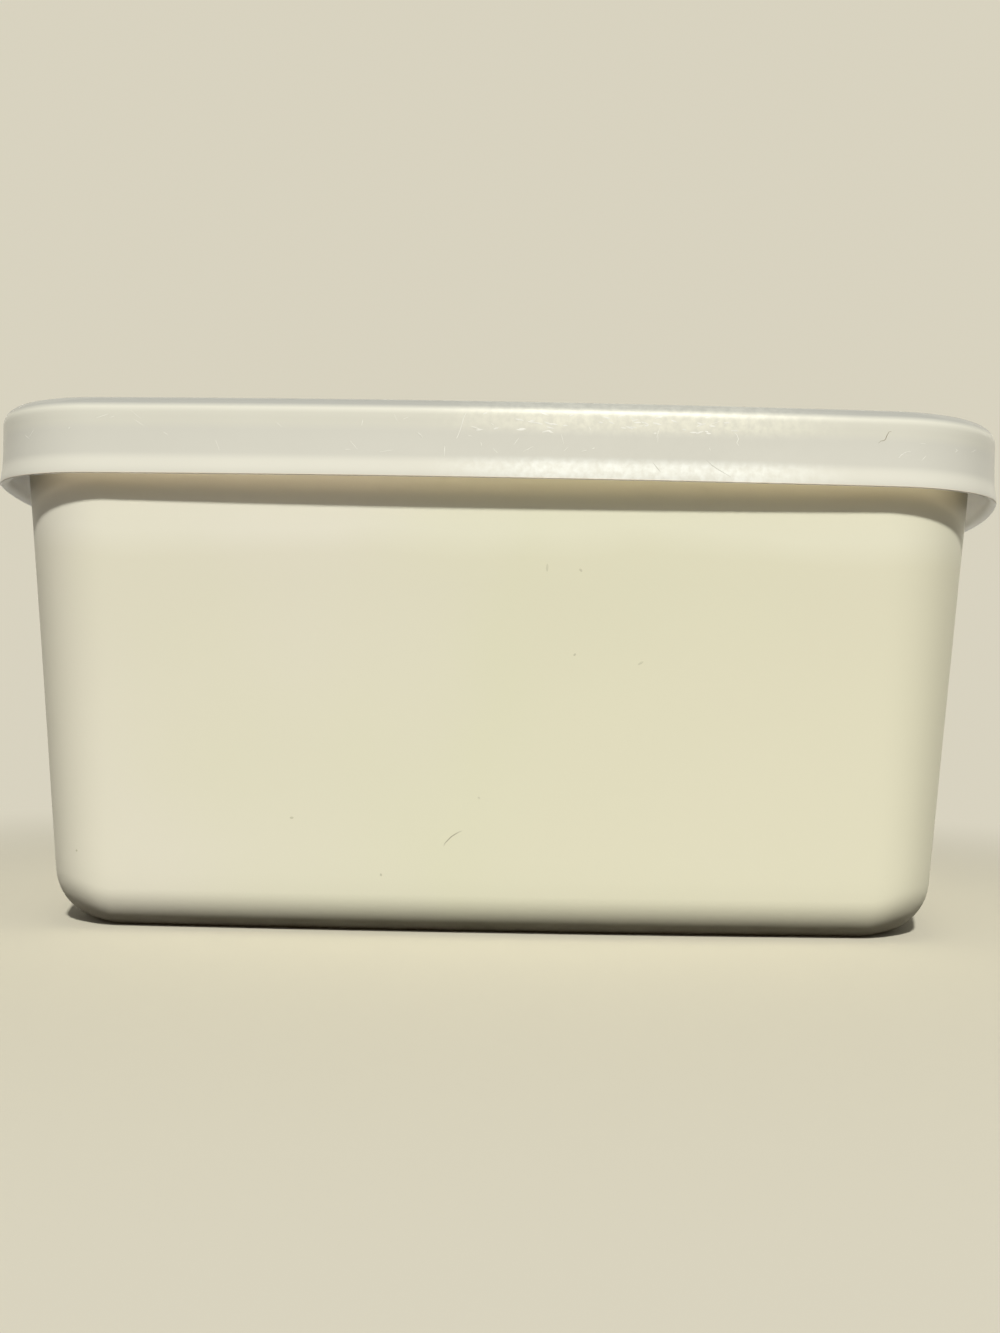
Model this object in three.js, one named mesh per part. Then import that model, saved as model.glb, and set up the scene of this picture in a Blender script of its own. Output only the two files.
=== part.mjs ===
// A shut food storage tub with a deep-skirted push-on lid.
// Millimetres, +Z up. The origin is the middle of the footprint, on the surface that the tub stands on.
// The long side runs along X. Every section is given by its inset from an outline as large as the lid's.
import * as THREE from "three";

// Plan outline of the lid
const LID_LENGTH = 185.2;
const LID_WIDTH = 118;
const CORNER_RADIUS = 23.6;
const LONG_SIDE_BOW = 2.2;
const SHORT_SIDE_BOW = 4.4;
const ARC_STEPS = 8;

// Lid heights and thicknesses
const LID_TOP = 89;
const SKIRT_BOTTOM = 76;
const LID_THICKNESS = 1.2;
const SHOULDER_RADIUS = 2.8;
const SHOULDER_INNER_RADIUS = 1;
const LIP_HEIGHT = 3.6;
const LIP_STEP = 0.35;
const LIP_SLOPE_HEIGHT = 2.4;
const LIP_EDGE_RADIUS = 0.2;
const PANEL_DROP = 1.4;
const BORDER_INSET = 8.2;
const PANEL_STEP_WIDTH = 1.6;

// Tub walls, foot and rim. The tub's long sides are flatter than the lid's.
const TUB_SIDE_BOW = 1.45;
const LID_OVERHANG = 4.6;
const WALL_SLOPE = 0.08;
const SIDE_FILLET_RADIUS = 7.6;
const CORNER_FILLET_RADIUS = 9.8;
const FILLET_BLEND = 0.7;
const FOOT_WIDTH = 5;
const FOOT_RECESS = 0.8;
const FOOT_CORNER_RADIUS = 8;
const RIM_UNDERSIDE = 84.5;
const RIM_EDGE_RADIUS = 0.9;
const RIM_INNER_INSET = 6.2;
const FILL_DROP = 1.6;

// Clearance between the lid and the tub inside it, and how much more of it each end has
const LID_GAP = 0.3;
const END_SLACK = 0.6;

// Fineness of the rounded edges
const FILLET_STEPS = 6;
const EDGE_STEPS = 2;

const skirtInset = LIP_STEP + LID_THICKNESS;
const rimInset = skirtInset + LID_GAP;
const rimTop = LID_TOP - LID_THICKNESS - LID_GAP;

// Radius of the long arc that bows a side out by bow between its two corner arcs
function bowRadius(halfSpan, corner, bow) {
  return (halfSpan ** 2 + (corner + bow) ** 2 - corner ** 2) / (2 * bow);
}

// A closed outline of eight arcs, four bowed sides and four corners, each tangent to the next
function bowedOutline(length, width, corner, sideBow) {
  const cornerX = length / 2 - corner - SHORT_SIDE_BOW;
  const cornerY = width / 2 - corner - sideBow;
  const endRadius = bowRadius(cornerY, corner, SHORT_SIDE_BOW);
  const sideRadius = bowRadius(cornerX, corner, sideBow);
  const endSweep = Math.asin(cornerY / (endRadius - corner));
  const sideSweep = Math.asin(cornerX / (sideRadius - corner));
  const endMiddle = length / 2 - endRadius;
  const sideMiddle = width / 2 - sideRadius;
  const right = Math.PI / 2;
  const arcs = [];
  for (const [quarter, x, y] of [[0, 1, 1], [1, -1, 1], [2, -1, -1], [3, 1, -1]]) {
    const along = quarter % 2 === 0;
    const sweep = along ? endSweep : sideSweep;
    const nextSweep = along ? sideSweep : endSweep;
    const heading = quarter * right;
    arcs.push({
      x: along ? x * endMiddle : 0,
      y: along ? 0 : y * sideMiddle,
      radius: along ? endRadius : sideRadius,
      start: heading - sweep,
      end: heading + sweep,
    });
    arcs.push({
      x: x * cornerX,
      y: y * cornerY,
      radius: corner,
      start: heading + sweep,
      end: heading + right - nextSweep,
    });
  }
  return arcs;
}

// One ring of points along an outline, where spotAt gives the inset and height for the way the outline faces
function ring(outline, spotAt) {
  const points = [];
  for (const arc of outline) {
    for (let step = 0; step < ARC_STEPS; step += 1) {
      const heading = arc.start + ((arc.end - arc.start) * step) / ARC_STEPS;
      const spot = spotAt(heading);
      const reach = arc.radius - spot.x;
      const x = arc.x + reach * Math.cos(heading);
      const y = arc.y + reach * Math.sin(heading);
      points.push(new THREE.Vector3(x, y, spot.y));
    }
  }
  return points;
}

// Points of a rounded edge in a wall's section, where x is the inset and y the height
function roundedEdge(inset, height, radius, start, end, steps) {
  return new THREE.ArcCurve(inset, height, radius, start, end, true).getPoints(steps);
}

// The rings of a wall's section, from a list of inset and height
function sectionRings(outline, section) {
  return section.map((spot) => ring(outline, () => spot));
}

// A closed body: a fan under the first ring, bands from ring to ring, and a fan over the last
function loft(rings) {
  const count = rings[0].length;
  const last = rings.length - 1;
  const vertices = rings.flat();
  const underMiddle = vertices.push(new THREE.Vector3(0, 0, rings[0][0].z)) - 1;
  const overMiddle = vertices.push(new THREE.Vector3(0, 0, rings[last][0].z)) - 1;
  const faces = [];
  for (let i = 0; i < count; i += 1) {
    const next = (i + 1) % count;
    faces.push(underMiddle, next, i);
    for (let level = 0; level < last; level += 1) {
      const low = level * count;
      const high = low + count;
      faces.push(low + i, low + next, high + next);
      faces.push(low + i, high + next, high + i);
    }
    faces.push(overMiddle, last * count + i, last * count + next);
  }
  const geometry = new THREE.BufferGeometry().setFromPoints(vertices);
  geometry.setIndex(faces);
  geometry.computeVertexNormals();
  return geometry;
}

function point(inset, height) {
  return new THREE.Vector2(inset, height);
}

// Inset of the tub's sloping wall at a height
function wallInset(height) {
  return LID_OVERHANG + WALL_SLOPE * (SKIRT_BOTTOM - height);
}

// Inset of the line where a base edge of this radius meets the ground
function groundInset(radius) {
  return wallInset(radius) + radius / Math.cos(Math.atan(WALL_SLOPE));
}

// A spot on the base edge, which is tighter on the long sides. The share runs from the ground to the wall.
function baseEdge(heading, share) {
  const turn = THREE.MathUtils.smoothstep(Math.abs(Math.cos(heading)), 0, FILLET_BLEND);
  const radius = THREE.MathUtils.lerp(SIDE_FILLET_RADIUS, CORNER_FILLET_RADIUS, turn);
  const angle = -Math.PI / 2 - (Math.PI / 2 - Math.atan(WALL_SLOPE)) * share;
  return point(groundInset(radius) + radius * Math.cos(angle), radius + radius * Math.sin(angle));
}

// The tub: recessed foot, rounded base edge, sloping wall, out-turned rim, filled to just under the lid
function tubGeometry(length) {
  const outline = bowedOutline(length, LID_WIDTH, CORNER_RADIUS, TUB_SIDE_BOW);
  const rimOutline = bowedOutline(length, LID_WIDTH, CORNER_RADIUS, LONG_SIDE_BOW);
  const footInset = groundInset(CORNER_FILLET_RADIUS) + FOOT_WIDTH;
  const footOutline = bowedOutline(
    length - 2 * footInset,
    LID_WIDTH - 2 * footInset,
    FOOT_CORNER_RADIUS,
    TUB_SIDE_BOW,
  );
  const foot = sectionRings(footOutline, [point(FOOT_RECESS, FOOT_RECESS), point(0, 0)]);
  const base = [];
  for (let step = 0; step <= FILLET_STEPS; step += 1) {
    base.push(ring(outline, (heading) => baseEdge(heading, step / FILLET_STEPS)));
  }
  const rimEdge = roundedEdge(
    rimInset + RIM_EDGE_RADIUS,
    rimTop - RIM_EDGE_RADIUS,
    RIM_EDGE_RADIUS,
    Math.PI,
    Math.PI / 2,
    EDGE_STEPS,
  );
  const wallTop = ring(outline, () => point(wallInset(RIM_UNDERSIDE), RIM_UNDERSIDE));
  const rim = sectionRings(rimOutline, [
    point(rimInset, RIM_UNDERSIDE + RIM_EDGE_RADIUS),
    ...rimEdge,
    point(RIM_INNER_INSET, rimTop),
    point(RIM_INNER_INSET + RIM_EDGE_RADIUS, rimTop - FILL_DROP),
  ]);
  return loft([...foot, ...base, wallTop, ...rim]);
}

// The lid's underside, from the panel out to the skirt's lower edge
function lidUnderside() {
  const borderUnderside = LID_TOP - LID_THICKNESS;
  const panelUnderside = borderUnderside - PANEL_DROP;
  const stepInset = BORDER_INSET - LID_THICKNESS;
  const shoulder = roundedEdge(
    skirtInset + SHOULDER_INNER_RADIUS,
    borderUnderside - SHOULDER_INNER_RADIUS,
    SHOULDER_INNER_RADIUS,
    Math.PI,
    Math.PI / 2,
    EDGE_STEPS,
  );
  return [
    point(stepInset + PANEL_STEP_WIDTH, panelUnderside),
    point(stepInset, borderUnderside),
    ...shoulder.reverse(),
    point(skirtInset, SKIRT_BOTTOM + LIP_EDGE_RADIUS),
  ];
}

// The lid's outside, from the skirt's lower edge over the lip and the shoulder to the panel
function lidOutside() {
  const lipTop = SKIRT_BOTTOM + LIP_HEIGHT;
  const lipEdge = roundedEdge(
    LIP_EDGE_RADIUS,
    SKIRT_BOTTOM + LIP_EDGE_RADIUS,
    LIP_EDGE_RADIUS,
    -Math.PI / 2,
    -Math.PI,
    EDGE_STEPS,
  );
  const shoulder = roundedEdge(
    LIP_STEP + SHOULDER_RADIUS,
    LID_TOP - SHOULDER_RADIUS,
    SHOULDER_RADIUS,
    Math.PI,
    Math.PI / 2,
    FILLET_STEPS,
  );
  return [
    ...lipEdge,
    point(0, lipTop - LIP_SLOPE_HEIGHT),
    point(LIP_STEP, lipTop),
    ...shoulder,
    point(BORDER_INSET, LID_TOP),
    point(BORDER_INSET + PANEL_STEP_WIDTH, LID_TOP - PANEL_DROP),
  ];
}

function lidGeometry(length) {
  const outline = bowedOutline(length, LID_WIDTH, CORNER_RADIUS, LONG_SIDE_BOW);
  return loft(sectionRings(outline, [...lidUnderside(), ...lidOutside()]));
}

const creamPlastic = new THREE.MeshStandardMaterial({ color: "#e0dbbe", roughness: 0.5, metalness: 0 });
const milkyPlastic = new THREE.MeshStandardMaterial({ color: "#dedbcb", roughness: 0.35, metalness: 0 });

function namedMesh(name, geometry, material) {
  const mesh = new THREE.Mesh(geometry, material);
  mesh.name = name;
  return mesh;
}

const container = new THREE.Group();
container.add(namedMesh("tub", tubGeometry(LID_LENGTH - 2 * END_SLACK), creamPlastic));
container.add(namedMesh("lid", lidGeometry(LID_LENGTH), milkyPlastic));

export default container;
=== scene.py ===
"""Looks of a shut food tub with a milky push-on lid: meshes, plastics, marks, studio and camera."""
import math
import random

import bpy
from mathutils import Matrix, Vector, noise
from mathutils.bvhtree import BVHTree


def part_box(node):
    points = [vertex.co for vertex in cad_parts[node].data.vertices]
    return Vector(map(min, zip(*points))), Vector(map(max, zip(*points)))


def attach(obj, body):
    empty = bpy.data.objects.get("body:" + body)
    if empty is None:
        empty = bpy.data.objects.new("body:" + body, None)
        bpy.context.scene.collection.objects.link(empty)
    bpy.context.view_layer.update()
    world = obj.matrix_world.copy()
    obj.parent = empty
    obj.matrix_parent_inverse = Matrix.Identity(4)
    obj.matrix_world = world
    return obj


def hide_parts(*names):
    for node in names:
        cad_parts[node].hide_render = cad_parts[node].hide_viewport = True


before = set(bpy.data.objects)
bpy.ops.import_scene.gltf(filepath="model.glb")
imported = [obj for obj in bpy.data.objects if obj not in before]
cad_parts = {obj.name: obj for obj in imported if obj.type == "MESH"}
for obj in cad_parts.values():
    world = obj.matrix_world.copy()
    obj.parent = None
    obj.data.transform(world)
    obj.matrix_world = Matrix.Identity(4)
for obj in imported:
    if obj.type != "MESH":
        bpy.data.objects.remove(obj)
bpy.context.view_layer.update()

MM = 0.001

# Sizes that the frame gives
lid_low, lid_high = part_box("lid")
tub_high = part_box("tub")[1]
LID_LENGTH = lid_high.x - lid_low.x
LID_WIDTH = lid_high.y - lid_low.y
LID_TOP = lid_high.z
SKIRT_BOTTOM = lid_low.z
RIM_TOP = tub_high.z

# Plan outline, as in the solids
CORNER_RADIUS = 23.6 * MM
LONG_SIDE_BOW = 2.2 * MM
SHORT_SIDE_BOW = 4.4 * MM

# Lid section, as in the solids
LID_THICKNESS = 1.2 * MM
SHOULDER_RADIUS = 2.8 * MM
SHOULDER_INNER_RADIUS = 1 * MM
LIP_HEIGHT = 3.6 * MM
LIP_STEP = 0.35 * MM
LIP_EDGE_RADIUS = 0.2 * MM
PANEL_DROP = 1.4 * MM
BORDER_INSET = 8.2 * MM
PANEL_STEP_WIDTH = 1.6 * MM

# Bevel under the lip's edge
LIP_EDGE_RISE = 0.55 * MM
LIP_EDGE_SLANT = math.radians(22)

# Tub section, as in the solids
TUB_SIDE_BOW = 1.45 * MM
LID_OVERHANG = 4.6 * MM
WALL_SLOPE = 0.08
SIDE_FILLET_RADIUS = 7.6 * MM
CORNER_FILLET_RADIUS = 9.8 * MM
FILLET_BLEND = 0.7
FOOT_WIDTH = 5 * MM
FOOT_RECESS = 0.8 * MM
FOOT_CORNER_RADIUS = 8 * MM
RIM_UNDERSIDE = 84.5 * MM
RIM_EDGE_RADIUS = 0.9 * MM
RIM_INNER_INSET = 6.2 * MM
FILL_DROP = 1.6 * MM
RIM_INSET = LID_WIDTH / 2 - tub_high.y
END_SLACK = 0.6 * MM

# Places of the lid's materials in its list
OUTSIDE_FINISH = 0
INSIDE_FINISH = 1
TOP_FINISH = 2

# Fineness of the outlines and sections
CORNER_STEPS = 24
END_STEPS = 30
SIDE_STEPS = 48
ROUND_STEPS = 12
WALL_ROWS = 26
SKIRT_ROWS = 8
PANEL_ROWS = 8

# Unevenness of the moulded walls
WALL_RIPPLE = 0.12 * MM
SKIRT_RIPPLE = 0.07 * MM
RIPPLE_RATE = 45
FLATTEST_WALL = 0.5

# Camera, fitted to the photo's outlines
IMAGE_WIDTH = 1000
IMAGE_HEIGHT = 1333
FOCAL_PIXELS = 1400
AXIS_PIXEL_X = 580
AXIS_PIXEL_Y = 704
CAMERA_ROLL = 0.0178
CAMERA_RIGHT = 14.9 * MM
CAMERA_BACK = 226.2 * MM
CAMERA_BELOW_SKIRT = 36.3 * MM
SENSOR = 36.0


def bow_radius(half_span, corner, bow):
    """Radius of the long arc that bows a side out by bow between its two corner arcs."""
    return (half_span ** 2 + (corner + bow) ** 2 - corner ** 2) / (2 * bow)


def bowed_outline(length, width, corner, side_bow):
    """Eight arcs, four bowed sides and four corners, each tangent to the next.

    Each arc is given by its middle, radius, first and last angle and number of steps.
    """
    corner_x = length / 2 - corner - SHORT_SIDE_BOW
    corner_y = width / 2 - corner - side_bow
    end_radius = bow_radius(corner_y, corner, SHORT_SIDE_BOW)
    side_radius = bow_radius(corner_x, corner, side_bow)
    end_sweep = math.asin(corner_y / (end_radius - corner))
    side_sweep = math.asin(corner_x / (side_radius - corner))
    right = math.pi / 2
    arcs = []
    for quarter, (x, y) in enumerate([(1, 1), (-1, 1), (-1, -1), (1, -1)]):
        heading = quarter * right
        if quarter % 2 == 0:
            middle = Vector((x * (length / 2 - end_radius), 0))
            radius, sweep, next_sweep, steps = end_radius, end_sweep, side_sweep, END_STEPS
        else:
            middle = Vector((0, y * (width / 2 - side_radius)))
            radius, sweep, next_sweep, steps = side_radius, side_sweep, end_sweep, SIDE_STEPS
        corner_middle = Vector((x * corner_x, y * corner_y))
        corner_end = heading + right - next_sweep
        arcs.append((middle, radius, heading - sweep, heading + sweep, steps))
        arcs.append((corner_middle, corner, heading + sweep, corner_end, CORNER_STEPS))
    return arcs


def ring(outline, spot_at, shrink=1.0):
    """One ring of points along an outline, drawn in to the middle by shrink.

    The inset and height of each point come from spot_at, which is given the way the outline faces there.
    """
    points = []
    for middle, radius, start, end, steps in outline:
        for i in range(steps):
            heading = start + (end - start) * i / steps
            inset, height = spot_at(heading)
            x = middle.x + (radius - inset) * math.cos(heading)
            y = middle.y + (radius - inset) * math.sin(heading)
            points.append(Vector((x * shrink, y * shrink, height)))
    return points


def rounded_edge(inset, height, radius, start, end, steps=ROUND_STEPS):
    """Points of a rounded edge in a section, as pairs of inset and height."""
    angles = [start + (end - start) * i / steps for i in range(steps + 1)]
    return [(inset + radius * math.cos(a), height + radius * math.sin(a)) for a in angles]


def straight(start, end, rows):
    """Points of a straight stretch in a section, without its two ends."""
    shares = [i / rows for i in range(1, rows)]
    width = end[0] - start[0]
    rise = end[1] - start[1]
    return [(start[0] + width * s, start[1] + rise * s) for s in shares]


def eased(share):
    """A share from 0 to 1 with a soft start and end."""
    return share * share * (3 - 2 * share)


def smooth_step(start, end, steps=ROUND_STEPS):
    """Points of a soft S from one level of a section to another, as pairs of inset and height."""
    shares = [i / steps for i in range(steps + 1)]
    width = end[0] - start[0]
    rise = end[1] - start[1]
    return [(start[0] + width * s, start[1] + rise * eased(s)) for s in shares]


def section_rings(outline, section):
    """The rings of a section, which is a list of inset and height."""
    return [ring(outline, lambda heading, spot=spot: spot) for spot in section]


def closing_rings(outline, inset, height, rows):
    """Rings on a flat end face, drawn in towards the middle."""
    return [ring(outline, lambda heading: (inset, height), 1 - i / rows) for i in range(1, rows)]


def new_piece(name, vertices, faces, smooth=True):
    """A mesh object in the scene."""
    mesh = bpy.data.meshes.new(name)
    mesh.from_pydata(vertices, [], faces)
    mesh.polygons.foreach_set("use_smooth", [smooth] * len(faces))
    mesh.update()
    made = bpy.data.objects.new(name, mesh)
    bpy.context.scene.collection.objects.link(made)
    return made


def loft(name, rings, finishes=(0,)):
    """A closed mesh: a fan under the first ring, bands from ring to ring, and a fan over the last.

    The finishes give each band's place in the list of materials. A single one is for all bands.
    """
    count = len(rings[0])
    last = len(rings) - 1
    vertices = [point for one in rings for point in one]
    under_middle = len(vertices)
    over_middle = under_middle + 1
    vertices.append(Vector((0, 0, rings[0][0].z)))
    vertices.append(Vector((0, 0, rings[last][0].z)))
    faces = []
    for i in range(count):
        following = (i + 1) % count
        faces.append((under_middle, following, i))
        for level in range(last):
            low = level * count
            high = low + count
            faces.append((low + i, low + following, high + following, high + i))
        faces.append((over_middle, last * count + i, last * count + following))
    made = new_piece(name, vertices, faces)
    bands = [*finishes] if len(finishes) == last else [*finishes] * last
    made.data.polygons.foreach_set("material_index", [bands[0], *bands, bands[-1]] * count)
    return made


def ripple(piece, depth, low, high):
    """Press the walls between two heights in a little, unevenly, as cooling plastic does."""
    normals = [vertex.normal.copy() for vertex in piece.data.vertices]
    for vertex, normal in zip(piece.data.vertices, normals):
        share = (vertex.co.z - low) / (high - low)
        outwards = Vector((normal.x, normal.y, 0))
        if 0 < share < 1 and outwards.length > FLATTEST_WALL:
            outwards *= math.copysign(1 / outwards.length, outwards.dot(vertex.co))
            press = 0.5 + 0.5 * noise.noise(vertex.co * RIPPLE_RATE)
            vertex.co -= outwards * depth * press * math.sin(math.pi * share)
    piece.data.update()


def wall_inset(height):
    """Inset of the tub's sloping wall at a height."""
    return LID_OVERHANG + WALL_SLOPE * (SKIRT_BOTTOM - height)


def ground_inset(radius):
    """Inset of the line where a base edge of this radius meets the ground."""
    return wall_inset(radius) + radius / math.cos(math.atan(WALL_SLOPE))


def fillet_radius(heading):
    """Radius of the base edge, which is tighter on the long sides than at the corners and ends."""
    turn = min(abs(math.cos(heading)) / FILLET_BLEND, 1)
    return SIDE_FILLET_RADIUS + (CORNER_FILLET_RADIUS - SIDE_FILLET_RADIUS) * eased(turn)


def base_edge(heading, share):
    """A spot on the rounded base edge, where the share runs from the ground to the wall."""
    radius = fillet_radius(heading)
    angle = -math.pi / 2 - (math.pi / 2 - math.atan(WALL_SLOPE)) * share
    return ground_inset(radius) + radius * math.cos(angle), radius + radius * math.sin(angle)


def wall_spot(heading, share):
    """A spot on the sloping wall, where the share runs from the base edge to the rim's underside."""
    start = base_edge(heading, 1)[1]
    height = start + (RIM_UNDERSIDE - start) * share
    return wall_inset(height), height


def make_tub():
    """Recessed foot, rounded base edge, sloping wall and rim, filled to just under the lid."""
    length = LID_LENGTH - 2 * END_SLACK
    outline = bowed_outline(length, LID_WIDTH, CORNER_RADIUS, TUB_SIDE_BOW)
    rim_outline = bowed_outline(length, LID_WIDTH, CORNER_RADIUS, LONG_SIDE_BOW)
    foot_inset = ground_inset(CORNER_FILLET_RADIUS) + FOOT_WIDTH
    foot_length = length - 2 * foot_inset
    foot_width = LID_WIDTH - 2 * foot_inset
    foot_outline = bowed_outline(foot_length, foot_width, FOOT_CORNER_RADIUS, TUB_SIDE_BOW)
    recess = list(reversed(closing_rings(foot_outline, FOOT_RECESS, FOOT_RECESS, PANEL_ROWS)))
    foot = section_rings(foot_outline, smooth_step((FOOT_RECESS, FOOT_RECESS), (0, 0)))
    edge_shares = [i / ROUND_STEPS for i in range(ROUND_STEPS + 1)]
    base = [ring(outline, lambda heading, s=s: base_edge(heading, s)) for s in edge_shares]
    wall_shares = [i / WALL_ROWS for i in range(1, WALL_ROWS + 1)]
    wall = [ring(outline, lambda heading, s=s: wall_spot(heading, s)) for s in wall_shares]
    rim_edge = rounded_edge(
        RIM_INSET + RIM_EDGE_RADIUS, RIM_TOP - RIM_EDGE_RADIUS, RIM_EDGE_RADIUS, math.pi, math.pi / 2)
    fill_inset = RIM_INNER_INSET + RIM_EDGE_RADIUS
    fill_level = RIM_TOP - FILL_DROP
    rim = section_rings(rim_outline, [
        (RIM_INSET, RIM_UNDERSIDE + RIM_EDGE_RADIUS),
        *rim_edge,
        *smooth_step((RIM_INNER_INSET, RIM_TOP), (fill_inset, fill_level)),
    ])
    fill = closing_rings(rim_outline, fill_inset, fill_level, PANEL_ROWS)
    tub = loft("tub_shell", [*recess, *foot, *base, *wall, *rim, *fill])
    ripple(tub, WALL_RIPPLE, CORNER_FILLET_RADIUS, SKIRT_BOTTOM)
    return tub


def lid_underside():
    """The lid's underside, from the panel out to the skirt's lower edge."""
    skirt_inset = LIP_STEP + LID_THICKNESS
    border_underside = LID_TOP - LID_THICKNESS
    step_inset = BORDER_INSET - LID_THICKNESS
    panel_edge = (step_inset + PANEL_STEP_WIDTH, border_underside - PANEL_DROP)
    shoulder = rounded_edge(
        skirt_inset + SHOULDER_INNER_RADIUS, border_underside - SHOULDER_INNER_RADIUS,
        SHOULDER_INNER_RADIUS, math.pi / 2, math.pi)
    skirt_foot = (skirt_inset, SKIRT_BOTTOM + LIP_EDGE_RISE)
    return [
        *smooth_step(panel_edge, (step_inset, border_underside)),
        *shoulder,
        *straight(shoulder[-1], skirt_foot, SKIRT_ROWS),
        skirt_foot,
    ]


def lid_outside():
    """The lid's outside, from the skirt's lower edge over the lip and the shoulder to the panel."""
    lip_top = SKIRT_BOTTOM + LIP_HEIGHT
    lip_edge = rounded_edge(
        LIP_EDGE_RADIUS, SKIRT_BOTTOM + LIP_EDGE_RADIUS, LIP_EDGE_RADIUS,
        LIP_EDGE_SLANT - math.pi / 2, -math.pi)
    shoulder = rounded_edge(
        LIP_STEP + SHOULDER_RADIUS, LID_TOP - SHOULDER_RADIUS, SHOULDER_RADIUS, math.pi, math.pi / 2)
    flare_shares = [i / ROUND_STEPS for i in range(1, ROUND_STEPS + 1)]
    flare_low = lip_edge[-1][1]
    flare = [(LIP_STEP * eased(s), flare_low + (lip_top - flare_low) * s) for s in flare_shares]
    panel_edge = (BORDER_INSET + PANEL_STEP_WIDTH, LID_TOP - PANEL_DROP)
    return [
        *lip_edge,
        *flare,
        *straight(flare[-1], shoulder[0], SKIRT_ROWS),
        *shoulder,
        *smooth_step((BORDER_INSET, LID_TOP), panel_edge),
    ]


def make_lid():
    """The lid as one closed skin with three finishes.

    Its inside ends half way round the lip's edge, and its top starts at the border.
    """
    outline = bowed_outline(LID_LENGTH, LID_WIDTH, CORNER_RADIUS, LONG_SIDE_BOW)
    inside = lid_underside()
    section = [*inside, *lid_outside()]
    under_inset, under_height = section[0]
    over_inset, over_height = section[-1]
    under = list(reversed(closing_rings(outline, under_inset, under_height, PANEL_ROWS)))
    over = closing_rings(outline, over_inset, over_height, PANEL_ROWS)
    rings = [*under, *section_rings(outline, section), *over]
    inner_bands = len(under) + len(inside) + ROUND_STEPS // 2
    top_bands = 1 + ROUND_STEPS + len(over)
    outer_bands = len(rings) - 1 - inner_bands - top_bands
    finishes = [INSIDE_FINISH] * inner_bands + [OUTSIDE_FINISH] * outer_bands + [TOP_FINISH] * top_bands
    lid = loft("lid_shell", rings, finishes)
    ripple(lid, SKIRT_RIPPLE, SKIRT_BOTTOM + LIP_HEIGHT, LID_TOP - SHOULDER_RADIUS)
    return lid


def new_material(name):
    """A node material with its tree and its main shader."""
    material = bpy.data.materials.new(name)
    material.use_nodes = True
    return material, material.node_tree, material.node_tree.nodes["Principled BSDF"]


def add_node(tree, kind, **inputs):
    """A node with its named inputs set to values or linked from sockets."""
    made = tree.nodes.new(kind)
    for label, value in inputs.items():
        socket = made.inputs[label.replace("_", " ")]
        if isinstance(value, bpy.types.NodeSocket):
            tree.links.new(value, socket)
        else:
            socket.default_value = value
    return made


def ramp(tree, factor, *stops):
    """A colour ramp through stops of position and colour, fed by a factor."""
    made = add_node(tree, "ShaderNodeValToRGB", Fac=factor)
    elements = made.color_ramp.elements
    elements[0].position, elements[1].position = stops[0][0], stops[-1][0]
    for position, colour in stops[1:-1]:
        elements.new(position)
    for element, (position, colour) in zip(elements, stops):
        element.color = (*colour, 1)
    return made.outputs["Color"]


def map_range(tree, value, span, goal=(0.0, 1.0)):
    """A value taken from one span to another, and held at its ends."""
    start, end = span
    low, high = goal
    made = add_node(
        tree, "ShaderNodeMapRange", Value=value, From_Min=start, From_Max=end, To_Min=low, To_Max=high)
    return made.outputs["Result"]


def place(tree):
    """The point on the object, in metres."""
    return tree.nodes.new("ShaderNodeTexCoord").outputs["Object"]


def place_along(tree, axis):
    """The point's place along one axis, in metres."""
    return add_node(tree, "ShaderNodeSeparateXYZ", Vector=place(tree)).outputs[axis]


def noise_of(tree, pattern):
    """Noise of a pattern, which is given by its cells for each metre and its levels of detail."""
    rate, detail = pattern
    made = add_node(tree, "ShaderNodeTexNoise", Vector=place(tree), Scale=rate, Detail=detail)
    return made.outputs["Fac"]


def patches(tree, pattern, spread, first, second):
    """A colour that changes between two others from place to place."""
    start, end = spread
    return ramp(tree, noise_of(tree, pattern), (start, first), (end, second))


def product(tree, first, second):
    """Two colours or vectors multiplied."""
    made = tree.nodes.new("ShaderNodeVectorMath")
    made.operation = "MULTIPLY"
    tree.links.new(first, made.inputs[0])
    tree.links.new(second, made.inputs[1])
    return made.outputs["Vector"]


def grey(level):
    """A colour with the same level in red, green and blue."""
    return (level, level, level)


BLACK = grey(0)
WHITE = grey(1)

# Parts of a noise pattern's range over which a tint or a gloss changes, wide and tight
WIDE_SPREAD = (0.3, 0.7)
TIGHT_SPREAD = (0.35, 0.65)


def drifting(tree, value, pattern, reach):
    """A value that wanders by up to a reach from place to place."""
    drift = map_range(tree, noise_of(tree, pattern), WIDE_SPREAD, (-reach, reach))
    made = tree.nodes.new("ShaderNodeMath")
    tree.links.new(value, made.inputs[0])
    tree.links.new(drift, made.inputs[1])
    return made.outputs["Value"]


def bands_up(tree, height, span, bands):
    """A colour that changes with height, through bands of a height in millimetres and a colour."""
    low, high = span
    stops = [((level * MM - low) / (high - low), colour) for level, colour in bands]
    return ramp(tree, map_range(tree, height, span), *stops)


def satin(tree, shader, tint, grain, gloss):
    """Give a shader its tint, a fine mould grain and a roughness that changes from place to place.

    The grain is a pattern, a strength and a depth. The gloss is a pattern and a range of roughness.
    """
    grain_pattern, strength, depth = grain
    gloss_pattern, roughness = gloss
    height = noise_of(tree, grain_pattern)
    bump = add_node(tree, "ShaderNodeBump", Height=height, Strength=strength, Distance=depth)
    uneven = map_range(tree, noise_of(tree, gloss_pattern), WIDE_SPREAD, roughness)
    tree.links.new(tint, shader.inputs["Base Color"])
    tree.links.new(uneven, shader.inputs["Roughness"])
    tree.links.new(bump.outputs["Normal"], shader.inputs["Normal"])


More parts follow.
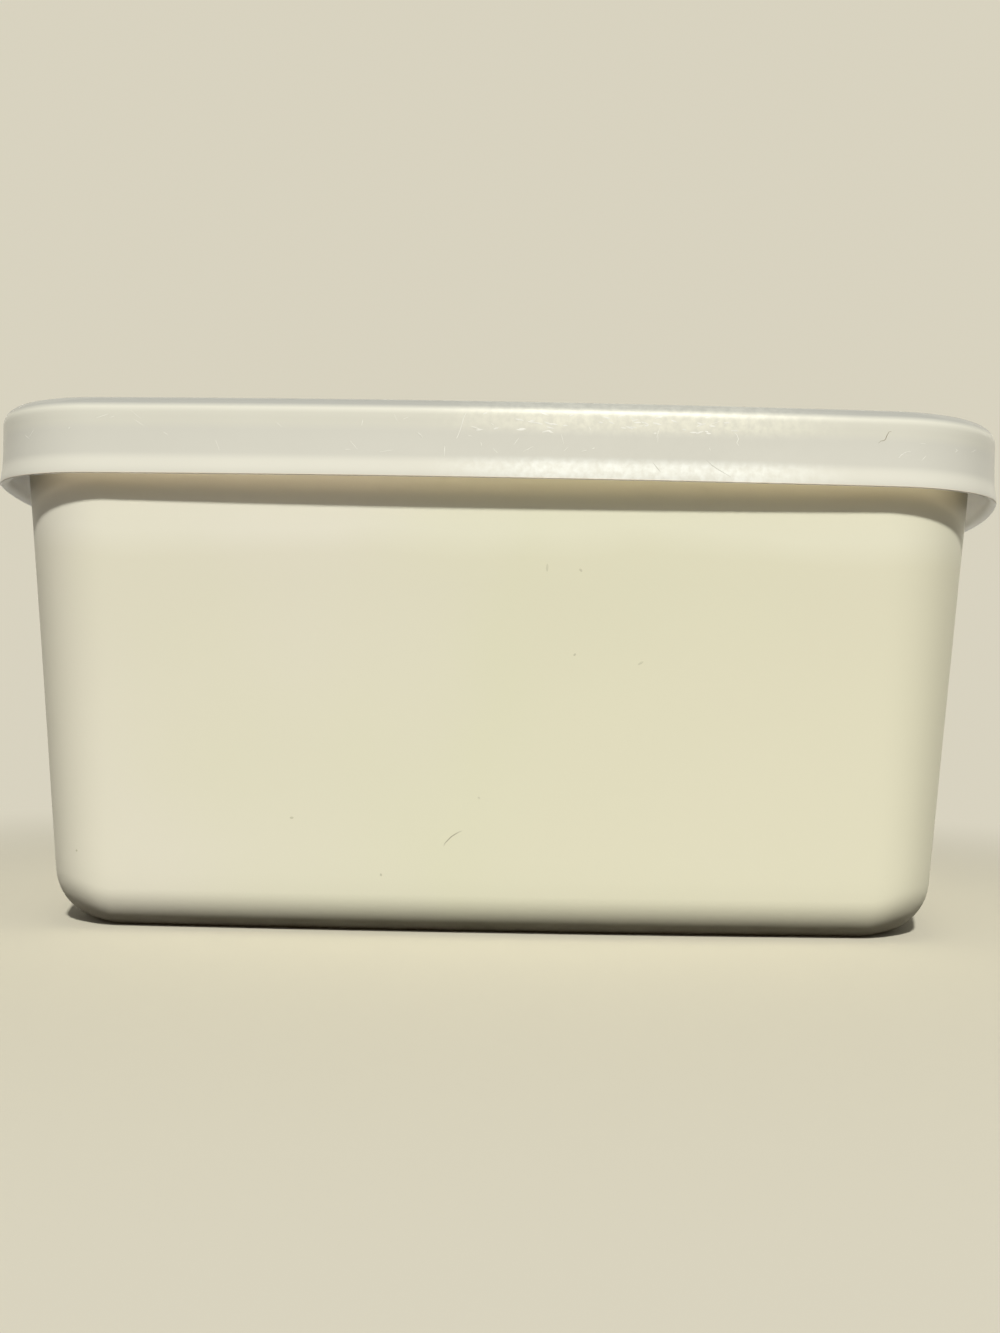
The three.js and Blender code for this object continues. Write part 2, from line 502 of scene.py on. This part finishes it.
# Tints of the tub along its length, and how far they wander
LENGTH_SPAN = (-LID_LENGTH / 2, LID_LENGTH / 2)
PALE_CREAM = (0.84, 0.814, 0.69)
YELLOW_CREAM = (0.822, 0.813, 0.635)
WARM_CREAM = (0.835, 0.814, 0.645)
CREAM_STOPS = ((0.1, PALE_CREAM), (0.5, YELLOW_CREAM), (0.9, WARM_CREAM))
TINT_PATTERN = (14.0, 2.0)
TINT_DRIFT = 50 * MM

# How the wall's tint changes with height: paler low down, which is painted light, duller higher up, and
# paler just under the lid
WALL_SPAN = (0.0, 100 * MM)
# Painted light: the lower wall is made paler to make up for light that falls off down the wall
LOW_WALL_PAINTED_LIGHT = (1.028, 1.03, 1.035)
MIDDLE_WALL = (0.99, 0.99, 0.99)
DULL_WALL = (0.952, 0.95, 0.955)
PALE_TOP_WALL = (1.005, 1.012, 1.05)
WALL_BANDS = ((14, LOW_WALL_PAINTED_LIGHT), (40, MIDDLE_WALL), (59.5, DULL_WALL), (63.8, DULL_WALL), (68.2, PALE_TOP_WALL))
WAVE_PATTERN = (30.0, 2.0)
WALL_WAVE = 1.3 * MM

# Grain and gloss of the tub
TUB_GRAIN = ((2600.0, 2.0), 0.35, 0.02 * MM)
TUB_GLOSS = ((300.0, 2.0), (0.5, 0.6))


def tub_plastic():
    """Cream satin plastic with soft changes of tint along its length and up its walls, and painted light
    low on its walls.
    """
    material, tree, shader = new_material("tub_cream_plastic")
    along = drifting(tree, place_along(tree, "X"), TINT_PATTERN, TINT_DRIFT)
    cream = ramp(tree, map_range(tree, along, LENGTH_SPAN), *CREAM_STOPS)
    height = drifting(tree, place_along(tree, "Z"), WAVE_PATTERN, WALL_WAVE)
    tint = product(tree, cream, bands_up(tree, height, WALL_SPAN, WALL_BANDS))
    satin(tree, shader, tint, TUB_GRAIN, TUB_GLOSS)
    return material


# Tints of the milky lid: its edge with a painted glow, thick lip, thin skirt over a hollow, the rim behind
# it, and shoulder with painted shade
LID_SPAN = (SKIRT_BOTTOM, LID_TOP)
# Painted glow: the lowest band of the lip's edge is made lighter and warmer, as if lit through the plastic
EDGE_PAINTED_GLOW = (0.84, 0.77, 0.66)
LIP_TINT = (0.725, 0.718, 0.655)
SKIRT_TINT = (0.675, 0.672, 0.62)
RIM_TINT = (0.71, 0.705, 0.635)
# Painted shade: the upper part of the rounded shoulder is made dark grey
SHOULDER_PAINTED_SHADE = (0.42, 0.425, 0.405)
LID_BANDS = (
    (76.15, EDGE_PAINTED_GLOW), (76.35, LIP_TINT),
    (78.4, LIP_TINT), (79.6, SKIRT_TINT),
    (83.4, SKIRT_TINT), (84.6, RIM_TINT),
    (87.0, RIM_TINT), (87.8, SHOULDER_PAINTED_SHADE),
    (88.8, SHOULDER_PAINTED_SHADE), (88.98, RIM_TINT),
)
TOP_BANDS = (((LID_TOP - PANEL_DROP) / MM, SKIRT_TINT), (LID_TOP / MM, RIM_TINT))
CLOUD_PATTERN = (60.0, 4.0)
CLOUD_SHADES = (grey(0.985), grey(1.015))

# Lamp light that the lid lets through: little at the thick lip, more at the thin skirt, none at a slant
LIP_PASS = (0.17, 0.15, 0.125)
SKIRT_PASS = (0.71, 0.663, 0.61)
PASS_BANDS = ((76.3, LIP_PASS), (78.9, SKIRT_PASS))
FACING_BLEND = 0.5
SLANT_STOPS = ((0.30, WHITE), (0.62, BLACK))

# How far wear and a painted sheen whiten the lid's bands, and where along the long sides they do
LIP_WEAR_AND_SHEEN = (0.155, 0.18, 0.225)
SKIRT_WEAR_AND_SHEEN = (0.01, 0.01, 0.01)
RIM_WEAR_AND_SHEEN = (0.165, 0.165, 0.15)
WEAR_AND_SHEEN_BANDS = (
    (76.0, LIP_WEAR_AND_SHEEN), (78.6, LIP_WEAR_AND_SHEEN),
    (79.8, SKIRT_WEAR_AND_SHEEN), (83.0, SKIRT_WEAR_AND_SHEEN),
    (85.0, RIM_WEAR_AND_SHEEN), (87.5, RIM_WEAR_AND_SHEEN),
)
# The stretch along the length is where the painted sheen lies, about the middle of the long sides
WORN_AND_SHEEN_STRETCH = ((0.44, BLACK), (0.54, WHITE), (0.72, WHITE), (0.82, BLACK))
SKIRT_RUB_PATTERN = (900.0, 5.0)
SKIRT_RUB_SHADES = (grey(0.45), grey(1.4))
TOP_RUB_PATTERN = (500.0, 4.0)
TOP_RUB_SHADES = (grey(0.99), grey(1.01))

# Grain and gloss of the lid
LID_GRAIN = ((900.0, 2.0), 0.06, 0.03 * MM)
SKIRT_GLOSS = ((250.0, 3.0), (0.2, 0.27))
TOP_GLOSS = ((250.0, 3.0), (0.28, 0.38))

# The lid's inside, and how far light spreads in it
INSIDE_TINTS = ((0.9025, 0.874, 0.779), (0.95, 0.92, 0.82))
INSIDE_ROUGHNESS = 0.45
GLOW_REACH = 10 * MM
GLOW_SPREAD = (1.0, 0.95, 0.85)


def lid_bands(tree, bands):
    """A colour that changes up the lid."""
    return bands_up(tree, place_along(tree, "Z"), LID_SPAN, bands)


def clouded(tree, tint):
    """A tint with faint clouds in it."""
    return product(tree, tint, patches(tree, CLOUD_PATTERN, WIDE_SPREAD, *CLOUD_SHADES))


def shine_through(tree, shader):
    """Let lamp light through the lid where it strikes squarely."""
    slant = add_node(tree, "ShaderNodeLayerWeight", Blend=FACING_BLEND).outputs["Facing"]
    passed = product(tree, lid_bands(tree, PASS_BANDS), ramp(tree, slant, *SLANT_STOPS))
    through = add_node(tree, "ShaderNodeBsdfTransparent", Color=passed)
    lamp_ray = tree.nodes.new("ShaderNodeLightPath").outputs["Is Shadow Ray"]
    mix = add_node(tree, "ShaderNodeMixShader", Fac=lamp_ray)
    tree.links.new(shader.outputs["BSDF"], mix.inputs[1])
    tree.links.new(through.outputs["BSDF"], mix.inputs[2])
    tree.links.new(mix.outputs["Shader"], tree.nodes["Material Output"].inputs["Surface"])


def wear_and_sheen(tree):
    """How much wear and a painted sheen about the middle of the long sides whiten the lip and the rim's
    band.
    """
    share = map_range(tree, place_along(tree, "X"), LENGTH_SPAN)
    worn_and_sheen = product(tree, ramp(tree, share, *WORN_AND_SHEEN_STRETCH), lid_bands(tree, WEAR_AND_SHEEN_BANDS))
    mottled = product(tree, worn_and_sheen, patches(tree, SKIRT_RUB_PATTERN, TIGHT_SPREAD, *SKIRT_RUB_SHADES))
    whitened = tree.nodes.new("ShaderNodeVectorMath")
    tree.links.new(mottled, whitened.inputs[0])
    whitened.inputs[1].default_value = WHITE
    return whitened.outputs["Vector"]


def lid_plastic():
    """Milky scuffed plastic, with a painted glow on the lip's edge, painted shade on the shoulder, and a
    painted sheen with the wear about the middle of the long sides. The tub's rim shows through it as a
    creamier band.
    """
    material, tree, shader = new_material("lid_milky_plastic")
    tint = product(tree, clouded(tree, lid_bands(tree, LID_BANDS)), wear_and_sheen(tree))
    satin(tree, shader, tint, LID_GRAIN, SKIRT_GLOSS)
    shine_through(tree, shader)
    return material


def lid_top_plastic():
    """The lid's top: milky over the hollow under the panel, and creamier on the border over the rim."""
    material, tree, shader = new_material("lid_milky_top")
    mottled = patches(tree, TOP_RUB_PATTERN, TIGHT_SPREAD, *TOP_RUB_SHADES)
    tint = product(tree, clouded(tree, lid_bands(tree, TOP_BANDS)), mottled)
    satin(tree, shader, tint, LID_GRAIN, TOP_GLOSS)
    shine_through(tree, shader)
    return material


def lid_inside_plastic():
    """The lid's inside, which glows softly with the light that strikes its outside."""
    material, tree, shader = new_material("lid_milky_inside")
    tint = patches(tree, CLOUD_PATTERN, WIDE_SPREAD, *INSIDE_TINTS)
    tree.links.new(tint, shader.inputs["Base Color"])
    shader.inputs["Roughness"].default_value = INSIDE_ROUGHNESS
    shader.inputs["Subsurface Weight"].default_value = 1.0
    shader.inputs["Subsurface Radius"].default_value = GLOW_SPREAD
    shader.inputs["Subsurface Scale"].default_value = GLOW_REACH
    shine_through(tree, shader)
    return material


# Marks of use that the photo shows, each along a row of its pixels
LID_SCRATCHES = (
    ((466, 413), (463.6, 418), (462.3, 423), (460.4, 429.5), (458.5, 434.5), (456.6, 438.5)),
    ((470.6, 426.5), (475, 427.6), (480.8, 429.6)),
    ((417.7, 432.6), (420, 434.5), (422.5, 437.4)),
    ((444.8, 446), (444.5, 451), (444.4, 456)),
    ((493.2, 448.3), (495, 450.6), (497.4, 453)),
    ((68.2, 429), (69.8, 427)),
    ((581.6, 451.4), (586.8, 450)),
    ((592, 448.6), (595, 447.8)),
    ((733, 432), (736.7, 434.5), (738.5, 439), (736.8, 443), (739, 446)),
    ((709, 447.6), (710.6, 450.4)),
    ((898.8, 458), (900.8, 455.4), (903.9, 453.4), (907.4, 452.3), (911, 451.8)),
    ((955.6, 448.6), (957.4, 450.6), (955.2, 452.4)),
)
LID_CREASES = (
    ((706, 459.4), (711.5, 465), (719, 470), (731, 477)),
    ((653, 462.6), (656.4, 467), (660.5, 472)),
)
LID_FIBRES = (
    ((891.6, 431.4), (889, 432), (887, 435.5), (885.5, 439), (884, 440.6), (881, 441), (878.4, 443.2)),
)
TUB_FIBRES = (
    ((444, 845.8), (444.8, 843.3), (447.9, 840.2), (450.9, 836.9), (456.5, 833.3), (461.6, 831)),
    ((478.4, 797), (479.6, 798.8)),
)
TUB_SPECKS = (
    ((547.4, 563.6), (547.2, 571.4)),
    ((579.4, 568.6), (582.2, 571.6)),
    ((573.6, 655.6), (576, 653.6)),
    ((638, 664.6), (643.4, 661.4)),
    ((289.8, 817.8), (293.6, 817.6)),
    ((380.8, 873.4), (381.2, 876.2)),
    ((75.6, 850.4), (77.6, 850.4)),
)

# Thickness of the marks, how finely they are made, and how far they taper and stand up
SCRATCH_RADIUS = 0.07 * MM
FIBRE_RADIUS = 0.06 * MM
SPECK_RADIUS = 0.2 * MM
PIXEL_STEPS = 3
THREAD_SIDES = 6
THREAD_TAPER = 0.3
THREAD_RISE = 0.45
SPECK_RISE = 0.12

# Fine scuffs all round the skirt, placed by rays that start well outside it
SCUFF_COUNT = 90
SCUFF_SEED = 5
SCUFF_TURNS = (0, 2 * math.pi)
SCUFF_SLANTS = (0, math.pi)
SCUFF_HEIGHTS = (80 * MM, 86 * MM)
SCUFF_LENGTHS = (0.6 * MM, 2.2 * MM)
SCUFF_RADIUS = 0.035 * MM
SCUFF_POINTS = 4
SCUFF_START = 0.3

# Rubbed flecks where the front of the skirt is worn over the rim
FLECK_COUNT = 44
FLECK_SEED = 3
FLECK_TURNS = (-math.pi / 2 - 0.05, -math.pi / 2 + 0.62)
FLECK_SLANTS = (-0.4, 0.4)
FLECK_HEIGHTS = (83.6 * MM, 86.6 * MM)
FLECK_LENGTHS = (0.4 * MM, 1.5 * MM)
FLECK_RADIUS = 0.13 * MM

# Darkest and lightest tint of each kind of mark
SCRATCH_TINTS = ((0.78, 0.78, 0.73), (0.92, 0.92, 0.88))
FIBRE_TINTS = ((0.24, 0.20, 0.13), (0.36, 0.32, 0.23))
SPECK_TINTS = ((0.63, 0.615, 0.475), (0.69, 0.675, 0.525))
CREASE_TINTS = ((0.50, 0.50, 0.45), (0.60, 0.60, 0.55))
MARK_PATTERN = (800.0, 2.0)
MARK_ROUGHNESS = 0.6


def laid(surface, rays):
    """The points and normals where rays, each a start and a direction, first meet a surface."""
    return [surface.ray_cast(start, direction)[:2] for start, direction in rays]


def sight(viewer, x, y):
    """The ray from the camera through a pixel of the photo."""
    aim = Vector((x - AXIS_PIXEL_X, AXIS_PIXEL_Y - y, -FOCAL_PIXELS))
    return viewer.matrix_world.translation, viewer.matrix_world.to_3x3() @ aim


def seen_line(surface, viewer, pixels):
    """A line on a surface that shows along a row of the photo's pixels."""
    rays = []
    for (x, y), (next_x, next_y) in zip(pixels, pixels[1:]):
        for i in range(PIXEL_STEPS):
            share = i / PIXEL_STEPS
            rays.append(sight(viewer, x + (next_x - x) * share, y + (next_y - y) * share))
    rays.append(sight(viewer, *pixels[-1]))
    return laid(surface, rays)


def seen_lines(surface, viewer, rows):
    """Lines on a surface that show along rows of the photo's pixels."""
    return [seen_line(surface, viewer, pixels) for pixels in rows]


def scuff_line(surface, draw, turns, slants, lengths, heights):
    """A short straight line at a random place, and at a random slant, on the skirt's outside."""
    turn = draw.uniform(*turns)
    slant = draw.uniform(*slants)
    outwards = Vector((math.cos(turn), math.sin(turn), 0))
    level = Vector((-math.sin(turn), math.cos(turn), 0))
    slide = (level * math.cos(slant) + Vector((0, 0, math.sin(slant)))) * draw.uniform(*lengths)
    middle = outwards * SCUFF_START + Vector((0, 0, draw.uniform(*heights)))
    shares = [i / (SCUFF_POINTS - 1) - 0.5 for i in range(SCUFF_POINTS)]
    return laid(surface, [(middle + slide * share, -outwards) for share in shares])


def scuff_lines(surface, seed, count, *ranges):
    """Lines at random places on the skirt, the same each time."""
    draw = random.Random(seed)
    return [scuff_line(surface, draw, *ranges) for i in range(count)]


def make_threads(name, lines, radius, lift):
    """Closed threads with thin ends, half sunk in a surface, along lines of points and normals."""
    vertices = []
    faces = []
    for line in lines:
        first = len(vertices)
        last = len(line) - 1
        for i, (point, normal) in enumerate(line):
            along = line[min(i + 1, last)][0] - line[max(i - 1, 0)][0]
            across = normal.cross(along).normalized()
            reach = radius * (THREAD_TAPER + (1 - THREAD_TAPER) * math.sin(math.pi * i / last))
            for side in range(THREAD_SIDES):
                angle = 2 * math.pi * side / THREAD_SIDES
                rise = normal * math.sin(angle) * lift
                vertices.append(point + (across * math.cos(angle) + rise) * reach)
        for start in range(first, first + last * THREAD_SIDES, THREAD_SIDES):
            for side in range(THREAD_SIDES):
                one = start + side
                two = start + (side + 1) % THREAD_SIDES
                faces.append((one, two, two + THREAD_SIDES, one + THREAD_SIDES))
        faces.append(tuple(reversed(range(first, first + THREAD_SIDES))))
        faces.append(tuple(range(len(vertices) - THREAD_SIDES, len(vertices))))
    return new_piece(name, vertices, faces, smooth=False)


def mark_material(name, tints):
    """A dull tint that changes along a mark."""
    material, tree, shader = new_material(name)
    tint = patches(tree, MARK_PATTERN, TIGHT_SPREAD, *tints)
    tree.links.new(tint, shader.inputs["Base Color"])
    shader.inputs["Roughness"].default_value = MARK_ROUGHNESS
    return material


def surface_of(piece):
    """A piece's faces, ready for rays to be cast at them."""
    vertices = [vertex.co for vertex in piece.data.vertices]
    return BVHTree.FromPolygons(vertices, [face.vertices for face in piece.data.polygons])


def make_marks(viewer, tub, lid):
    """Scratches, scuffs, flecks, creases, fibres and specks, each listed with the node that it lies on,
    though all are attached to the root.
    """
    tub_surface = surface_of(tub)
    lid_surface = surface_of(lid)
    scratches = seen_lines(lid_surface, viewer, LID_SCRATCHES)
    scuffs = scuff_lines(
        lid_surface, SCUFF_SEED, SCUFF_COUNT, SCUFF_TURNS, SCUFF_SLANTS, SCUFF_LENGTHS, SCUFF_HEIGHTS)
    flecks = scuff_lines(
        lid_surface, FLECK_SEED, FLECK_COUNT, FLECK_TURNS, FLECK_SLANTS, FLECK_LENGTHS, FLECK_HEIGHTS)
    creases = seen_lines(lid_surface, viewer, LID_CREASES)
    lid_fibres = seen_lines(lid_surface, viewer, LID_FIBRES)
    tub_fibres = seen_lines(tub_surface, viewer, TUB_FIBRES)
    tub_specks = seen_lines(tub_surface, viewer, TUB_SPECKS)
    whitened = mark_material("scratched_plastic", SCRATCH_TINTS)
    fibre = mark_material("stray_fibre", FIBRE_TINTS)
    dirt = mark_material("dull_specks", SPECK_TINTS)
    crease = mark_material("creased_plastic", CREASE_TINTS)
    marks = (
        ("lid_scratches", scratches, SCRATCH_RADIUS, THREAD_RISE, whitened, "lid"),
        ("lid_scuffs", scuffs, SCUFF_RADIUS, THREAD_RISE, whitened, "lid"),
        ("lid_flecks", flecks, FLECK_RADIUS, SPECK_RISE, whitened, "lid"),
        ("lid_creases", creases, SCRATCH_RADIUS, SPECK_RISE, crease, "lid"),
        ("lid_fibre", lid_fibres, FIBRE_RADIUS, THREAD_RISE, fibre, "lid"),
        ("tub_fibre", tub_fibres, FIBRE_RADIUS, THREAD_RISE, fibre, "tub"),
        ("tub_specks", tub_specks, SPECK_RADIUS, SPECK_RISE, dirt, "tub"),
    )
    for name, lines, radius, lift, material, node_name in marks:
        piece = make_threads(name, lines, radius, lift)
        piece.data.materials.append(material)
        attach(piece, "root")


# Studio: a round floor that curves up into a wall, and fades to an even glow away from the tub
FLOOR_RADIUS = 1.1
COVE_RADIUS = 0.5
WALL_TOP = 2.2
STUDIO_SIDES = 96
FADE_START = 0.10
FADE_END = 0.27
PAPER = (0.68, 0.65, 0.55)
PAPER_ROUGHNESS = 0.9
GLOW = (0.69, 0.65, 0.525)


def studio_paper():
    """Pale paper near the tub, which turns into an even pale glow with distance."""
    material, tree, shader = new_material("studio_paper")
    distance = add_node(tree, "ShaderNodeVectorMath", Vector=place(tree))
    distance.operation = "LENGTH"
    fade = add_node(
        tree, "ShaderNodeMapRange", Value=distance.outputs["Value"], From_Min=FADE_START, From_Max=FADE_END)
    fade.interpolation_type = "SMOOTHSTEP"
    paper = ramp(tree, fade.outputs["Result"], (0, PAPER), (1, BLACK))
    tree.links.new(paper, shader.inputs["Base Color"])
    tree.links.new(fade.outputs["Result"], shader.inputs["Emission Strength"])
    shader.inputs["Emission Color"].default_value = (*GLOW, 1)
    shader.inputs["Roughness"].default_value = PAPER_ROUGHNESS
    shader.inputs["Specular IOR Level"].default_value = 0.0
    return material


def make_studio():
    """A pale round floor that curves up into a wall on every side. It casts no colour back on the tub."""
    profile = [(FLOOR_RADIUS, 0.0)]
    for i in range(1, ROUND_STEPS + 1):
        angle = math.pi / 2 * i / ROUND_STEPS
        reach = FLOOR_RADIUS + COVE_RADIUS * math.sin(angle)
        profile.append((reach, COVE_RADIUS * (1 - math.cos(angle))))
    profile.append((FLOOR_RADIUS + COVE_RADIUS, WALL_TOP))
    vertices = [(0, 0, 0)]
    faces = []
    for reach, height in profile:
        for i in range(STUDIO_SIDES):
            angle = 2 * math.pi * i / STUDIO_SIDES
            vertices.append((reach * math.cos(angle), reach * math.sin(angle), height))
    for i in range(STUDIO_SIDES):
        following = (i + 1) % STUDIO_SIDES
        faces.append((0, 1 + i, 1 + following))
        for level in range(len(profile) - 1):
            low = 1 + level * STUDIO_SIDES
            high = low + STUDIO_SIDES
            faces.append((low + i, high + i, high + following, low + following))
    studio = new_piece("studio", vertices, faces)
    studio.data.materials.append(studio_paper())
    studio.visible_diffuse = False


# Lights, each with its azimuth and elevation in degrees, distance, size, power and colour
KEY_DIRECTION = (5.0, 41.8)
KEY_DISTANCE = 2.0
KEY_SIZE = (0.117, 0.117)
KEY_POWER = 38.7
KEY_COLOUR = (1.0, 0.98, 0.90)
SOFT_BOX_DIRECTION = (6, 44)
SOFT_BOX_DISTANCE = 1.2
SOFT_BOX_SIZE = (0.32, 0.5)
SOFT_BOX_POWER = 3.0
SOFT_BOX_COLOUR = (1.0, 0.99, 0.95)
FILL_RIGHT_DIRECTION = (135, 18)
FILL_LEFT_DIRECTION = (-142, 18)
FILL_DISTANCE = 1.4
FILL_SIZE = (0.6, 0.6)
FILL_POWER = 10.0
FILL_COLOUR = (1.0, 0.98, 0.92)


def add_light(name, direction, distance, size, power, colour):
    """A light that faces the tub's middle from a direction."""
    azimuth, elevation = (math.radians(angle) for angle in direction)
    back = Vector((
        math.sin(azimuth) * math.cos(elevation),
        -math.cos(azimuth) * math.cos(elevation),
        math.sin(elevation),
    ))
    middle = Vector((0, 0, LID_TOP / 2))
    light = bpy.data.lights.new(name, "AREA")
    light.shape = "RECTANGLE"
    light.size, light.size_y = size
    light.energy = power
    light.color = colour
    lamp = bpy.data.objects.new(name, light)
    lamp.location = middle + back * distance
    lamp.rotation_mode = "QUATERNION"
    lamp.rotation_quaternion = (-back).to_track_quat("-Z", "Y")
    bpy.context.scene.collection.objects.link(lamp)
    return lamp


# Light of the air from straight below to straight above, and its strength from front to back
UNIT_SPAN = (-1.0, 1.0)
AIR_BELOW = (0.016, 0.009, 0.004)
AIR_LEVEL = (0.22, 0.16, 0.10)
AIR_SIDE = (1.0, 0.975, 0.895)
AIR_TOP = (0.20, 0.20, 0.19)
AIR_STOPS = ((0.46, AIR_BELOW), (0.52, AIR_LEVEL), (0.65, AIR_SIDE), (0.80, AIR_SIDE), (0.92, AIR_TOP))
AIR_STRENGTHS = ((0.0, WHITE), (0.5, grey(0.1)), (1.0, grey(0.8)))


def make_air():
    """Soft light from all round, brightest a little above the horizon and dark below it."""
    world = bpy.data.worlds.new("studio_air")
    world.use_nodes = True
    tree = world.node_tree
    heading = tree.nodes.new("ShaderNodeTexCoord").outputs["Generated"]
    parts = add_node(tree, "ShaderNodeSeparateXYZ", Vector=heading)
    colour = ramp(tree, map_range(tree, parts.outputs["Z"], UNIT_SPAN), *AIR_STOPS)
    strength = ramp(tree, map_range(tree, parts.outputs["Y"], UNIT_SPAN), *AIR_STRENGTHS)
    tree.links.new(colour, tree.nodes["Background"].inputs["Color"])
    tree.links.new(strength, tree.nodes["Background"].inputs["Strength"])
    bpy.context.scene.world = world


def make_lights(receivers):
    """A small key light in front, a soft box for its gloss, and two fills behind that spare the floor."""
    key = add_light("key", KEY_DIRECTION, KEY_DISTANCE, KEY_SIZE, KEY_POWER, KEY_COLOUR)
    key.visible_glossy = False
    soft_box = add_light(
        "soft_box", SOFT_BOX_DIRECTION, SOFT_BOX_DISTANCE, SOFT_BOX_SIZE, SOFT_BOX_POWER, SOFT_BOX_COLOUR)
    soft_box.visible_diffuse = False
    filled = bpy.data.collections.new("filled")
    for piece in receivers:
        filled.objects.link(piece)
    for name, direction in (("fill_right", FILL_RIGHT_DIRECTION), ("fill_left", FILL_LEFT_DIRECTION)):
        fill = add_light(name, direction, FILL_DISTANCE, FILL_SIZE, FILL_POWER, FILL_COLOUR)
        fill.visible_glossy = False
        fill.light_linking.receiver_collection = filled
    make_air()
    bpy.context.scene.view_settings.view_transform = "Standard"


def make_camera():
    """A level camera in front of the tub, rolled a little, with the photo's framing."""
    camera = bpy.data.cameras.new("camera")
    camera.sensor_width = SENSOR
    camera.lens = SENSOR * FOCAL_PIXELS / IMAGE_HEIGHT
    camera.shift_x = (IMAGE_WIDTH / 2 - AXIS_PIXEL_X) / IMAGE_HEIGHT
    camera.shift_y = (AXIS_PIXEL_Y - IMAGE_HEIGHT / 2) / IMAGE_HEIGHT
    camera.clip_start = MM
    viewer = bpy.data.objects.new("camera", camera)
    stand = Vector((CAMERA_RIGHT, -LID_WIDTH / 2 - CAMERA_BACK, SKIRT_BOTTOM - CAMERA_BELOW_SKIRT))
    level = Matrix.Rotation(math.pi / 2, 4, "X")
    roll = Matrix.Rotation(CAMERA_ROLL, 4, "Z")
    viewer.matrix_world = Matrix.Translation(stand) @ level @ roll
    bpy.context.scene.collection.objects.link(viewer)
    bpy.context.scene.camera = viewer
    return viewer


viewer = make_camera()
tub = make_tub()
tub.data.materials.append(tub_plastic())
lid = make_lid()
lid.data.materials.append(lid_plastic())
lid.data.materials.append(lid_inside_plastic())
lid.data.materials.append(lid_top_plastic())
for piece, node_name in ((tub, "tub"), (lid, "lid")):
    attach(piece, "root")
    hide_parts(node_name)
make_marks(viewer, tub, lid)
make_studio()
make_lights((tub, lid))
